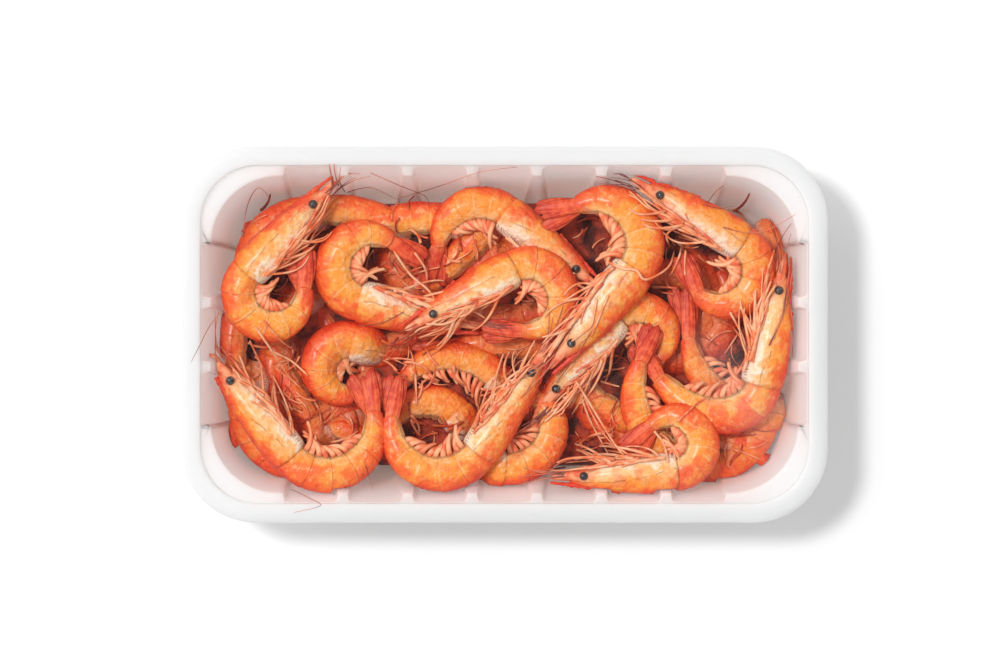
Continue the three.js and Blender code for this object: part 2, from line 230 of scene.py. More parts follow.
TRAY_LENGTH, TRAY_WIDTH = 225, 131
WALL = 1.2
FLANGE_WIDTH, LIP_DROP, LIP_CORNER, RIM_CORNER = 6.7, 4.6, 26, 20
LEDGE_WIDTH, LEDGE_DROP, LEDGE_CORNER = 3.5, 2.8, 24
FLOOR_INSET, FLOOR_CORNER, FLOOR_FILLET = 9.6, 14, 3.6
PANEL_PITCH, PANEL_HALF_TOP, PANEL_HALF_FOOT, PANEL_FOOT_DEPTH = 22.5, 9, 6.3, 1
PANELS_LONG, PANELS_SHORT = 7, 3
PANEL_EDGE = 0.7
CORNER_STEPS = 14

OUT = (TRAY_LENGTH / 2, TRAY_WIDTH / 2)
RIM = (OUT[0] - FLANGE_WIDTH, OUT[1] - FLANGE_WIDTH)
LEDGE = (RIM[0] - LEDGE_WIDTH, RIM[1] - LEDGE_WIDTH)
FLOOR = (LEDGE[0] - FLOOR_INSET, LEDGE[1] - FLOOR_INSET)
LEDGE_Z = RIM_HEIGHT - LEDGE_DROP
FILLET_TOP = WALL + FLOOR_FILLET


def blend(first, second, share):
    return first + (second - first) * share


def grown(half, by):
    return (half[0] + by, half[1] + by)


def tray_ring(half, corner, z, panel=None):
    """A level ring round the tray. `panel` is how far out its panels stand and their half width."""
    points = []
    sides = [(PANELS_SHORT, 0, 1), (PANELS_LONG, 1, 0)] * 2
    for quarter, (count, across, length) in enumerate(sides):
        way = Matrix.Rotation(quarter * math.pi / 2, 3, "Z")
        for i in range(count):
            middle = (i - (count - 1) / 2) * PANEL_PITCH
            width = panel[1] if panel else PANEL_HALF_TOP
            face = panel[0][across] if panel else half[across]
            wall = half[across]
            spots = [(wall, -width - PANEL_EDGE), (blend(wall, face, 0.85), -width - 0.1),
                     (face, -width + PANEL_EDGE), (face, 0), (face, width - PANEL_EDGE),
                     (blend(wall, face, 0.85), width + 0.1), (wall, width + PANEL_EDGE)]
            points += [way @ Vector((out, middle + along, z)) for out, along in spots]
        for i in range(CORNER_STEPS + 1):
            angle = math.pi / 2 * i / CORNER_STEPS
            x = half[across] - corner + corner * math.cos(angle)
            y = half[length] - corner + corner * math.sin(angle)
            points.append(way @ Vector((x, y, z)))
    return [p * MM for p in points]


def panel_at(z, out):
    """How far out a panel's face stands at this height, and how wide it is there."""
    share = (z - FILLET_TOP) / (LEDGE_Z + 1.2 - FILLET_TOP)
    foot = grown(FLOOR, PANEL_FOOT_DEPTH)
    top = grown(RIM, -0.15)
    face = (blend(foot[0], top[0], share) + out, blend(foot[1], top[1], share) + out)
    return face, blend(PANEL_HALF_FOOT, PANEL_HALF_TOP, share) + out


def wall_with_panels(z, out, share=None):
    share = (z - FILLET_TOP) / (LEDGE_Z - 1.1 - FILLET_TOP) * 0.97 if share is None else share
    half = (blend(FLOOR[0], LEDGE[0], share) + out, blend(FLOOR[1], LEDGE[1], share) + out)
    return tray_ring(half, blend(FLOOR_CORNER, LEDGE_CORNER, share) + out, z, panel_at(z, out))


def foot_rings(out, z):
    """The round foot of the wall, from the flat floor up."""
    rings = []
    for step in range(5):
        angle = math.radians(90 * step / 4)
        inset = FLOOR_FILLET * (1 - math.sin(angle))
        rings.append(tray_ring(grown(FLOOR, out - inset * 1.1), FLOOR_CORNER - inset + out,
                               z + FLOOR_FILLET * (1 - math.cos(angle))))
    return rings


inside = foot_rings(0, WALL)
for height in (FILLET_TOP + 1.2, 12, 20, 28, 34, LEDGE_Z - 1.1):
    inside.append(wall_with_panels(height, 0))
ledge_panel = panel_at(LEDGE_Z, 0)
# over the step to the rim, and down its lip: half sizes, corner, height, panels
inside += [tray_ring(*row) for row in [
    (LEDGE, LEDGE_CORNER, LEDGE_Z - 0.35, ledge_panel),
    (grown(LEDGE, 0.5), LEDGE_CORNER, LEDGE_Z, ledge_panel),
    (grown(RIM, -0.5), RIM_CORNER, LEDGE_Z + 0.2, (grown(RIM, -0.15), PANEL_HALF_TOP)),
    (grown(RIM, -0.1), RIM_CORNER, LEDGE_Z + 0.5),
    (RIM, RIM_CORNER, LEDGE_Z + 1.2),
    (RIM, RIM_CORNER, RIM_HEIGHT - 0.7),
    (grown(RIM, 0.15), RIM_CORNER, RIM_HEIGHT - 0.2),
    (grown(RIM, 0.7), RIM_CORNER, RIM_HEIGHT),
]]
flange = [tray_ring(*row) for row in [
    (grown(OUT, -1.9), LIP_CORNER - 1.5, RIM_HEIGHT),
    (grown(OUT, -1), LIP_CORNER - 0.9, RIM_HEIGHT - 0.2),
    (grown(OUT, -0.35), LIP_CORNER - 0.3, RIM_HEIGHT - 0.8),
    (OUT, LIP_CORNER, RIM_HEIGHT - 1.8),
    (OUT, LIP_CORNER, RIM_HEIGHT - LIP_DROP + 0.4),
    (grown(OUT, -0.3), LIP_CORNER, RIM_HEIGHT - LIP_DROP),
    (grown(OUT, -WALL), LIP_CORNER - WALL, RIM_HEIGHT - LIP_DROP),
    (grown(OUT, -WALL), LIP_CORNER - WALL, RIM_HEIGHT - WALL - 0.6),
    (grown(OUT, -WALL - 0.6), LIP_CORNER - WALL, RIM_HEIGHT - WALL),
    (grown(RIM, WALL + 0.6), RIM_CORNER + WALL, RIM_HEIGHT - WALL),
    (grown(RIM, WALL), RIM_CORNER + WALL, RIM_HEIGHT - WALL - 0.5),
    (grown(RIM, WALL), RIM_CORNER + WALL, LEDGE_Z - 0.6),
]]
outside = [wall_with_panels(height, WALL, share)
           for height, share in ((LEDGE_Z - 1, 1), (LEDGE_Z - 2.2, 0.95), (28, None), (18, None),
                                 (FILLET_TOP + 1.2, None))]
outside += foot_rings(WALL, 0)[::-1]
rings = inside + flange + outside

bm = bmesh.new()
wetted = bm.verts.layers.float.new("wetted")
bmesh.ops.create_circle(bm, segments=len(rings[0]), radius=1)
edge, loop = list(bm.edges), list(bm.verts)
bmesh.ops.contextual_create(bm, geom=edge)
for number, ring in enumerate(rings):
    if number:
        step = bmesh.ops.extrude_edge_only(bm, edges=edge)["geom"]
        above = {}
        for vert in [g for g in step if isinstance(g, bmesh.types.BMVert)]:
            for side in vert.link_edges:
                above[side.other_vert(vert)] = vert
        loop = [above[vert] for vert in loop]
        edge = [bm.edges.get((loop[i - 1], loop[i])) for i in range(len(loop))]
    for vert, spot in zip(loop, ring):
        vert.co = spot
        vert[wetted] = 1 if number < len(inside) - 5 else 0
bmesh.ops.contextual_create(bm, geom=edge)
bmesh.ops.remove_doubles(bm, verts=bm.verts, dist=1e-6)

# pink tint inside, part juice stain and part painted light bounced from the shrimp, most of all low on the
# walls and least in the corners
TRAY_WHITE, TRAY_PINK, TRAY_ROSE = (0.83, 0.82, 0.815), (0.93, 0.67, 0.63), (0.90, 0.46, 0.38)
tray_white = Finish("tray_white", **{"Specular IOR Level": 0.3, "Subsurface Weight": 0.85,
                                     "Subsurface Scale": 0.01, "Subsurface Radius": (1, 0.9, 0.87)})
across, deep_way, height = tray_white.parts(tray_white.place())
cloud = tray_white.grain(55, 2) - 0.5
stain_and_bounce = tray_white.kept("wetted").rise(0.3, 0.9)
corner = abs(across).rise(0.078, 0.096) * abs(deep_way).rise(0.03, 0.048)
stain_and_bounce = stain_and_bounce * (1 - corner * 0.65)
low_down = 1 - (height + cloud * 0.014).rise(0.018, 0.034)
tray_white.coat(TRAY_WHITE, (TRAY_PINK, stain_and_bounce * (0.85 + cloud * 0.6)), (TRAY_ROSE, stain_and_bounce * low_down * 0.8))
tray_white.feed(tray_white.shader, {"Roughness": 0.4 + tray_white.grain(150) * 0.14})
tray_white.relief(tray_white.grain(1400, 3), 0.00004)
tray = settle("foam_tray", bm, [tray_white.material], sharp=38)
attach(tray, "root")
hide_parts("tray")

# -------------------- the shrimp in their shells
# Whole cooked shrimp, each lying on its side with its tail curled under: a smooth head shell, six
# overlapping tail shells and a fan. The shell is a thin horny skin, orange over pale flesh.

HEAD_LENGTH, SPIKE_LENGTH, TAIL_LENGTH, FAN_LENGTH = 42.5, 49, 47, 17
EYE_AHEAD, EYE_OUT, EYE_RADIUS = 36, 2.7, 1.7
PATH_STEPS, PATH_LEAD = 96, 0.5 / 24
BELLY_SHARE = 0.94
ROUND, HEAD_STEPS = 36, 26
# ahead of the neck: distance, half depth, half thickness, shift towards the back
HEAD_SHAPE = [(42.5, 0.02, 0.02, 0.6), (42, 0.9, 0.7, 0.6), (40, 1.9, 1.4, 0.6), (37, 3.1, 2.2, 0.5),
              (33.5, 4.3, 3.1, 0.35), (30, 5.2, 3.9, 0.2), (25, 6.2, 4.7, 0.1), (20, 7, 5.3, 0),
              (14, 7.7, 5.8, 0), (8, 8, 6, 0), (3, 7.9, 5.9, 0), (0, 7.75, 5.85, 0)]
# along the tail: share of its length, half depth, half thickness
TAIL_SHAPE = [(0, 7.4, 5.6), (0.17, 7.5, 5.7), (0.35, 7.5, 5.6), (0.52, 7, 5.3), (0.68, 6.3, 4.8),
              (0.82, 5.1, 3.8), (1, 3.4, 2.5)]
# within one tail shell: share of its length, how much wider it is than the tail there
SHELL_SWELL = [(0, 0.962), (0.03, 0.974), (0.1, 0.988), (0.25, 0.998), (0.5, 1), (0.72, 1.003),
               (0.88, 1.008), (0.96, 1.014), (1, 1.008)]
# where the head is covered, the neck closes and dives under: distance ahead and share of its girth
COVERED_NECK = [(15, 0.02), (14.5, 0.35), (13, 0.62), (10, 0.85), (6, 0.97), (2, 1), (0.2, 1.01)]
NECK_DIVE = 0.045


def eased(t, start, start_slope, end, end_slope):
    """A smooth step from `start` to `end`, for t from 0 to 1, that leaves and arrives on slopes."""
    return (start * (2 * t**3 - 3 * t**2 + 1) + start_slope * (t**3 - 2 * t**2 + t)
            + end * (3 * t**2 - 2 * t**3) + end_slope * (t**3 - t**2))


def along_table(table, at, column):
    """A smooth curve through a table's rows, which run up or down in their first column."""
    rows = table if table[0][0] < table[-1][0] else table[::-1]
    k = 0
    while k < len(rows) - 2 and rows[k + 1][0] < at:
        k += 1
    x0, x1 = rows[k][0], rows[k + 1][0]
    y0, y1 = rows[k][column], rows[k + 1][column]
    before, after = rows[max(k - 1, 0)], rows[min(k + 2, len(rows) - 1)]
    m0 = (y1 - before[column]) / (x1 - before[0])
    m1 = (after[column] - y0) / (after[0] - x0)
    t = min(max((at - x0) / (x1 - x0), 0), 1)
    return eased(t, y0, m0 * (x1 - x0), y1, m1 * (x1 - x0))


def bearing(degrees):
    """A level direction."""
    return Vector((math.cos(math.radians(degrees)), math.sin(math.radians(degrees)), 0))


class Shrimp:
    """One shrimp on its side. x, y, z is its neck in mm, `head` the heading of its head, `curl` the
    bend of its tail in degrees. `tail`, `deep` and `fan_share` scale parts of it."""

    def __init__(self, name, x, y, z, head, curl, size, tail=1, deep=1, hook=0, fan=0, roll=0,
                 rise=0, fan_share=1, covered=False, tone=0, has_fan=True):
        self.name, self.size, self.curl, self.head = name, size, curl, head
        self.z, self.rise, self.roll, self.hook = z, rise, math.radians(roll), hook
        self.deep = size * deep
        self.fan, self.fan_share, self.covered = fan, fan_share, covered
        self.tone, self.has_fan = tone, has_fan
        self.length = TAIL_LENGTH * size * tail
        self.path = []
        for i in range(PATH_STEPS + 1):
            self.path.append((x, y, self.way_at(i / PATH_STEPS)))
            way = math.radians(self.way_at(i / PATH_STEPS + PATH_LEAD))
            x += self.length / PATH_STEPS * math.cos(way)
            y += self.length / PATH_STEPS * math.sin(way)

    def way_at(self, t):
        """Heading of the tail's middle line, in degrees, at share `t` of its length."""
        return self.head + 180 + self.curl * (t + self.hook * (t * t - t))

    def spine(self, run, turn=0):
        """Middle, direction to the tail, direction to the back and to the side, `run` mm ahead."""
        if run >= 0:
            x, y, way = self.path[0]
            x += run * math.cos(math.radians(self.head))
            y += run * math.sin(math.radians(self.head))
        elif run > -self.length:
            k = -run / self.length * PATH_STEPS
            i = min(int(k), PATH_STEPS - 1)
            a, b = self.path[i], self.path[i + 1]
            x, y, way = (blend(a[j], b[j], k - i) for j in range(3))
        else:
            x, y, way = self.path[-1]
            way += turn
            x -= (run + self.length) * math.cos(math.radians(way))
            y -= (run + self.length) * math.sin(math.radians(way))
        flat = bearing(way + (-90 if self.curl > 0 else 90))
        up = Vector((0, 0, 1))
        back = flat * math.cos(self.roll) + up * math.sin(self.roll)
        side = up * math.cos(self.roll) - flat * math.sin(self.roll)
        dive = NECK_DIVE * run * run if self.covered and run > 0 else 0
        return Vector((x, y, self.z + self.rise * run - dive)), bearing(way), back, side

    def girth(self, run):
        """Half depth, half thickness and shift towards the back at `run` mm ahead of the neck."""
        if run > 0:
            at = run / self.size
            return [along_table(HEAD_SHAPE, at, c) * self.deep for c in (1, 2, 3)]
        share = min(-run / self.length, 1)
        return [along_table(TAIL_SHAPE, share, c) * self.deep for c in (1, 2)] + [0]


WALL_CLEARANCE = 0.5


def held_in(p):
    """The same point, or the nearest one inside the tray where it would lie in or past the wall."""
    if p.z > RIM_HEIGHT - 0.5:
        return p
    share = min(max((p.z - FILLET_TOP) / (LEDGE_Z - FILLET_TOP), 0), 1)
    half = list(RIM) if p.z > LEDGE_Z + 0.5 else [blend(FLOOR[k], LEDGE[k], share) for k in (0, 1)]
    face, width = panel_at(min(p.z, LEDGE_Z), 0)
    for across, along, count in ((0, p.y, PANELS_SHORT), (1, p.x, PANELS_LONG)):
        nearest = round(along / PANEL_PITCH)
        if abs(nearest) <= count // 2 and abs(along - nearest * PANEL_PITCH) < width - PANEL_EDGE:
            half[across] = face[across]
    corner = blend(FLOOR_CORNER, LEDGE_CORNER, share)
    core = [half[k] - corner for k in (0, 1)]
    past = Vector((max(abs(p.x) - core[0], 0), max(abs(p.y) - core[1], 0)))
    if past.length <= corner - WALL_CLEARANCE:
        return p
    past *= (corner - WALL_CLEARANCE) / past.length
    x = math.copysign(core[0] + past.x, p.x) if abs(p.x) > core[0] else p.x
    y = math.copysign(core[1] + past.y, p.y) if abs(p.y) > core[1] else p.y
    return Vector((x, y, p.z))


def skin(bm, rows, round_steps, place, slot=0, chart=None, keep=held_in):
    """A closed skin from a flat grid: rows run along the piece, columns round it. `place` gives each
    point, in mm, `chart` its two numbers in the piece's own map, if not plain shares along and round
    it, and `keep` moves it off the wall."""
    chart = chart or (lambda i, j: (i / rows, j / round_steps))
    layer = bm.loops.layers.uv.get("chart") or bm.loops.layers.uv.new("chart")
    old = set(bm.faces)
    verts = bmesh.ops.create_grid(bm, x_segments=rows, y_segments=round_steps, size=0.5)["verts"]
    spots = {}
    for vert in verts:
        spots[vert] = (round((vert.co.x + 0.5) * rows), round((vert.co.y + 0.5) * round_steps))
    faces = {face for vert in verts for face in vert.link_faces} - old
    for face in faces:
        face.material_index = slot
        for corner in face.loops:
            corner[layer].uv = chart(*spots[corner.vert])
    for vert, (i, j) in spots.items():
        vert.co = keep(Vector(place(i, j % round_steps))) * MM
    bmesh.ops.remove_doubles(bm, verts=verts, dist=2e-6)


def body(bm, s):
    """Head shell and tail shells in one skin, each shell's rear edge over the next one."""
    stations = []
    if s.covered:
        for ahead, swell in COVERED_NECK:
            stations.append((ahead * s.size, -ahead / SPIKE_LENGTH, swell))
    else:
        for i in range(HEAD_STEPS + 1):
            ahead = HEAD_LENGTH * (1 - i / HEAD_STEPS) ** 0.93
            swell = 1 + 0.012 * math.exp(-ahead / 1.5) if i else 0.02
            stations.append((ahead * s.size, -ahead / SPIKE_LENGTH, swell))
    for k in range(6):
        start, end = TAIL_SHAPE[k][0], TAIL_SHAPE[k + 1][0]
        for t, swell in SHELL_SWELL:
            stations.append((-blend(start, end, t) * s.length - 0.02, k + t * 0.999, swell))
    stations += [(-s.length - 0.5 * s.size, 5.9995, 0.7), (-s.length - 0.9 * s.size, 5.9999, 0)]
    seed = Vector((s.head, s.curl, s.size * 31))

    def place(i, j):
        run, chart, swell = stations[i]
        a = math.radians(360 * j / ROUND)
        fade = min(1, max(0, 1 - run / 18))
        lag = 0 if i in (0, len(stations) - 1) else 0.9 * s.size * math.sin(a) ** 2 * fade
        middle, _, back, side = s.spine(run - lag)
        depth, thick, shift = s.girth(run - lag)
        belly = max(0, -math.cos(a))
        if belly:
            depth *= BELLY_SHARE
        if run < 0:
            lobe = math.sin(math.pi * (chart % 1)) ** 0.6
            depth *= 1 - 0.10 * belly**2 * (1 - lobe)
        rough = noise.noise(seed + Vector((run * 0.16, math.cos(a) * 1.2, math.sin(a) * 1.2)))
        fine = noise.noise(seed + Vector((run * 0.5, math.cos(a) * 4, math.sin(a) * 4)))
        swell *= 1 + 0.03 * rough + 0.012 * fine
        return (middle + back * (shift + depth * swell * math.cos(a))
                + side * (thick * swell * math.sin(a)))

    skin(bm, len(stations) - 1, ROUND, place, chart=lambda i, j: (stations[i][1], j / ROUND))


# the fan: turn in degrees, length share, half width, height, slide towards the back
FAN_BLADES = [(-17, 0.94, 2.8, -0.6, 1), (17, 0.94, 2.8, -2, -1), (-9, 1, 3, 0.9, 1),
              (10, 1, 3, -0.9, -1), (0, 0.88, 1.9, 0.9, 0.1)]


def fan(bm, s):
    """The tail fan: a narrow spine over four ribbed blades that are half folded."""
    length = FAN_LENGTH * s.size * s.fan_share
    for turn, share, half, lift, slide in FAN_BLADES:
        rows, columns = 16, 12

        def place(i, j):
            t = i / rows
            middle, along, back, side = s.spine(-s.length - 0.001, s.fan + turn)
            angle = 2 * math.pi * j / columns
            width = half * math.sin(math.pi * (0.24 + 0.72 * t) ** 1.15) ** 0.6
            thick = 0.75 * (1 - 0.75 * t) + 0.1
            if i in (0, rows):
                width, thick = 0, 0
            across = math.cos(angle)
            rib = 0.18 * math.exp(-(across / 0.2) ** 2) - 0.1 * across**2
            high = lift * (1 - 0.5 * t) + thick * (math.sin(angle) + rib)
            sag = -1.2 * t * t
            return (middle + along * ((-0.2 + 1.2 * t) * share * length)
                    + back * s.size * (slide * t + width * across) + side * s.size * (high + sag))

        skin(bm, rows, columns, place, slot=1)


def eye(bm, s):
    """Round black eyes, standing out of the head on both sides."""
    radius = EYE_RADIUS * s.size * MM
    for way in (1, -1):
        middle, _, back, side = s.spine(EYE_AHEAD * s.size)
        spot = middle + side * way * EYE_OUT * s.size - back * 0.3 * s.size
        made = bmesh.ops.create_uvsphere(bm, u_segments=16, v_segments=10, radius=radius)
        bmesh.ops.translate(bm, verts=made["verts"], vec=spot * MM)
        for face in {f for v in made["verts"] for f in v.link_faces}:
            face.material_index = 2


def rostrum(bm, s):
    """The saw-edged spike over the eyes, grown out of the head shell's ridge."""
    rows, columns = 40, 8

    def place(i, j):
        t = i / rows
        middle, _, back, side = s.spine(blend(22, SPIKE_LENGTH + 0.5, t) * s.size)
        base = blend(6.3, 1.5, t ** 0.9)
        tooth = 0.5 * (1 - (t * 9) % 1) * (1 if t < 0.8 else 0.3)
        tall = blend(1, 0.5, t) + tooth
        angle = 2 * math.pi * j / columns
        up = math.sin(angle) * 0.45 * (1 - 0.6 * t)
        lift = math.cos(angle) * tall
        if i in (0, rows):
            up, lift = 0, 0
        return middle + back * s.deep * (base + lift) + side * s.deep * up

    skin(bm, rows, columns, place, chart=lambda i, j: (-0.62 - 0.35 * i / rows, 0.02))


# each scale or root: where it starts and ends ahead, half width, flatness, place outwards and up
SCALE = (32, 49, 1.9, 0.35, 1.7, -0.9)
ROOTS = [(33, 44.5, 0.95, 0.8, 0.9, -2), (31, 42, 1, 0.8, 1.3, -3.4)]


def scales(bm, s):
    """The leaf-shaped scales and thick feeler roots that stick out under the eyes."""
    for way in (1, -1):
        for form in [SCALE] + ROOTS:
            start, end, half, thick, out, low = form
            rows, columns = 14, 8

            def place(i, j):
                t = i / rows
                middle, _, back, side = s.spine(blend(start, end, t) * s.size)
                angle = 2 * math.pi * j / columns
                if i in (0, rows):
                    width = 0
                elif form is SCALE:
                    width = half * math.sin(math.pi * (0.15 + 0.83 * t)) ** 0.5
                else:
                    width = half * (1 - 0.3 * t) * (1 + 0.12 * math.sin(t * 18))
                return (middle + back * s.size * (low * (1 - 0.5 * t) + width * math.cos(angle))
                        + side * s.size * (way * out * (1 - 0.4 * t) + width * thick * math.sin(angle)))

            skin(bm, rows, columns, place, slot=3)


shell = Finish("cooked_shell", **{"Specular IOR Level": 0.4, "Coat Weight": 0.25,
                                  "Coat Roughness": 0.2, "Subsurface Weight": 0.12,
                                  "Subsurface Scale": 0.002})
DEEP_RED, ORANGE, AMBER = (0.78, 0.042, 0.009), (0.98, 0.145, 0.014), (1, 0.36, 0.026)
CREAM, BRICK, ROSE = (1, 0.64, 0.31), (0.36, 0.028, 0.010), (0.95, 0.46, 0.30)
MILK = (1, 0.82, 0.64)
run, turn = shell.skin()
fold = 0.5 - abs(turn - 0.5)
cloud, patch, mottle = shell.grain(70, 2), shell.grain(230, 4), shell.grain(620, 4)
in_head = 1 - run.rise(-0.02, 0)
in_tail = 1 - in_head
within = run.most(0).part()
edge = fold + (patch - 0.5) * 0.25 + (cloud - 0.5) * 0.3
amber = (fold + (cloud - 0.5) * 0.6 + (patch - 0.5) * 0.5 + in_head * 0.05).rise(0.12, 0.29)
cream_edge = 0.34 - in_head * (0.10 - run * 0.09)
cream = (fold - cream_edge + (patch - 0.5) * 0.22 + (mottle - 0.5) * 0.22).rise(-0.07, 0.14)
vein = (1 - abs(mottle - 0.5).rise(0, 0.03)) * fold.rise(0.06, 0.2) * patch.rise(0.42, 0.58)
fleck = shell.grain(380, 2).rise(0.6, 0.68) * fold.rise(0.05, 0.2)
blush = shell.grain(120, 3).rise(0.55, 0.68)
margin = (fold - 0.415).rise(0, 0.02) * in_head
cheek = (fold - 0.30 + (patch - 0.5) * 0.3 + (mottle - 0.5) * 0.2).rise(-0.02, 0.06) * in_head
cheek = cheek * run.rise(-0.72, -0.56) * cloud.rise(0.3, 0.46)
broken = cloud.rise(0.38, 0.6) * (0.3 + patch)
joint = within.rise(0.86, 0.97) * in_tail * fold.rise(0.02, 0.25) * broken
# painted shadow: darker at the front of each tail shell, under the rear edge of the shell before it
step_shadow = (1 - within.rise(0, 0.03)) * in_tail * (0.4 + patch) * (0.08 + fold * 0.5)
tail_end = run.rise(5.2, 5.9)
groove = in_head * (fold - (0.27 + run * 0.14) + (cloud - 0.5) * 0.16).bump_at(0, 0.008)
groove = groove * patch.rise(0.42, 0.58)
ticks = (run * 46 + (patch - 0.5) * 3).part().bump_at(0.5, 0.16) * fold.bump_at(0.405, 0.035)
gills = ticks * mottle.rise(0.42, 0.6) * run.rise(-0.6, -0.4)
dashes = (run * 7 + (patch - 0.5) * 2).part().bump_at(0.5, 0.2) * fold.bump_at(0.40, 0.04) * in_tail
dashes = dashes * mottle.rise(0.45, 0.6)
front = in_head * (1 - run.rise(-0.84, -0.58)) * (0.35 + patch * 0.5)
speck = shell.grain(1700, 1).rise(0.69, 0.75)
# the last layer, deep red by the stored tone, is each shrimp's own redness and, on those lying deeper,
# painted shade
shell.coat(DEEP_RED, (ORANGE, edge.rise(-0.03, 0.15)), (AMBER, amber * 0.85), (CREAM, cream * 0.9),
           (CREAM, vein * 0.55), (CREAM, fleck * 0.4), (DEEP_RED, blush * 0.4), (ROSE, margin * 0.7),
           (MILK, cheek * 0.85), (CREAM, joint * 0.5), (BRICK, step_shadow), (DEEP_RED, tail_end * 0.6),
           (BRICK, groove * 0.3), (BRICK, gills * 0.75), (BRICK, dashes * 0.7), (DEEP_RED, front),
           (BRICK, speck * 0.45), (DEEP_RED, shell.kept("tone")))
shell.feed(shell.shader, {"Roughness": 0.30 + mottle * 0.28})
shell.relief(mottle * 1.4 + patch * 1.2 - groove * 0.4 - ticks, 0.0007)

fan_red = Finish("fan_red", **{"Roughness": 0.4, "Specular IOR Level": 0.22, "Coat Weight": 0.06,
                               "Coat Roughness": 0.2})
run, turn = fan_red.skin()
streak, cloud = fan_red.grain(500, 3), fan_red.grain(150, 2)
ribs = (turn * 10).part().bump_at(0.5, 0.5)
fan_red.coat((0.62, 0.036, 0.012), ((0.86, 0.115, 0.032), (streak * 0.6 + cloud * 0.4).rise(0.35, 0.62)),
             ((0.46, 0.025, 0.014), run.rise(0.45, 1) * 0.45),
             ((0.90, 0.27, 0.13), ribs * streak.rise(0.5, 0.6) * 0.2),
             ((0.93, 0.24, 0.07), (1 - run.rise(0.1, 0.4)) * 0.7))
fan_red.relief(ribs * 0.35 + streak, 0.0003)


def clouded(name, first, second, grain, share, **sockets):
    """A finish whose colour drifts between two, as its grain rises through `share`."""
    made = Finish(name, **sockets)
    made.coat(first, (second, made.grain(*grain).rise(*share)))
    return made


eye_black = clouded("eye_black", (0.012, 0.010, 0.012), (0.13, 0.11, 0.10), (900, 2), (0.45, 0.75),
                    **{"Roughness": 0.25, "Coat Weight": 0.5, "Coat Roughness": 0.08})
eye_black.relief(eye_black.cells(2600), 0.0001)

horn = clouded("pale_horn", (0.80, 0.13, 0.045), (0.93, 0.36, 0.17), (260, 2), (0.38, 0.60),
               **{"Roughness": 0.42, "Specular IOR Level": 0.35})
horn.relief(horn.grain(1500, 2), 0.0001)

SHELL_FINISHES = [shell.material, fan_red.material, eye_black.material, horn.material]

SHRIMPS = [
    Shrimp("shrimp_01", 3.3, 23.1, 33.2, 209, -212, 0.9, fan=5),
    Shrimp("shrimp_02", 45, 22.4, 33, 230, 156, 0.93, tail=0.94, deep=1.13, fan=-8),
    Shrimp("shrimp_03", -9.2, -41.2, 33, 56, -150, 0.93),
    Shrimp("shrimp_04", 60, -48, 33.4, 183, 219, 0.9, tail=0.88, fan=8),
    Shrimp("shrimp_05", -89.6, 21.4, 32.6, 47, 225, 0.92, fan=5),
    Shrimp("shrimp_06", -74.6, -42.6, 32.8, 129, 152, 0.94, fan=5),
    Shrimp("shrimp_07", 89.6, -17.6, 31.6, 79, -128, 0.93, deep=1.08, hook=-0.7, fan=-5, rise=0.05),
    Shrimp("shrimp_08", 82.8, 31.8, 32.4, 149, -192, 0.92, tail=0.9, fan=-20, tone=0.12),
    Shrimp("shrimp_09", -50.6, 11.7, 28, -13, -200, 0.88, deep=1.14, fan=5, rise=-0.05),
    Shrimp("shrimp_10", 0.2, 42.6, 27, -38, 124, 0.88, tail=0.76, fan=-5, rise=0.06, tone=0.1),
    Shrimp("shrimp_11", 63.5, -43.3, 24.5, -15, -95, 0.88, rise=-0.16, covered=True),
    Shrimp("shrimp_12", 39.5, 5.7, 26.2, 228.5, -175, 0.91, tail=0.72, deep=0.94, rise=0.02),
    Shrimp("shrimp_13", 0.2, -46.4, 25.6, 176, 168, 0.88, tail=0.95, hook=0.3, covered=True),
    Shrimp("shrimp_14", -52.7, -2.6, 24.6, -18, 205, 0.86, tail=0.84, deep=1.14, roll=20,
           covered=True, tone=0.1),
    Shrimp("shrimp_15", -3.3, -14.8, 22, -50, 105, 0.8, covered=True, tone=0.15),
    Shrimp("shrimp_16", 92.7, -27.3, 21, 0, -82, 0.88, fan_share=1.35, rise=-0.12, covered=True,
           tone=0.2),
]


def whole(name, s):
    """One whole shrimp as a piece. How red it is goes with it, stored on its points: its own redness, and
    on the shrimp lying deeper also painted shade.
    """
    bm = bmesh.new()
    body(bm, s)
    if s.has_fan:
        fan(bm, s)
    if not s.covered:
        eye(bm, s)
        rostrum(bm, s)
        scales(bm, s)
    thing = settle(name, bm, SHELL_FINISHES)
    layer = thing.data.attributes.new("tone", "FLOAT", "POINT")
    layer.data.foreach_set("value", [s.tone] * len(thing.data.vertices))
    return thing


pieces = []
for s in SHRIMPS:
    piece = whole(s.name + "_shell", s)
    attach(piece, "root")
    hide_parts(s.name)
    pieces.append(piece)

# -------------------- the lower layer
# What lies under the upper shrimp: a packed bed of more shrimp in their juice, its dark red-brown painted
# shade in the gaps between them.
# Only those that show in the gaps are made whole, the rest is a rough bed.

BED_TOP, DEEP_Z, DEEP_SIZE = 19.5, 16.5, 0.86


def under(*spot, **more):
    """A shrimp of the lower layer, whose head is covered."""
    return Shrimp(*spot, covered=True, **more)


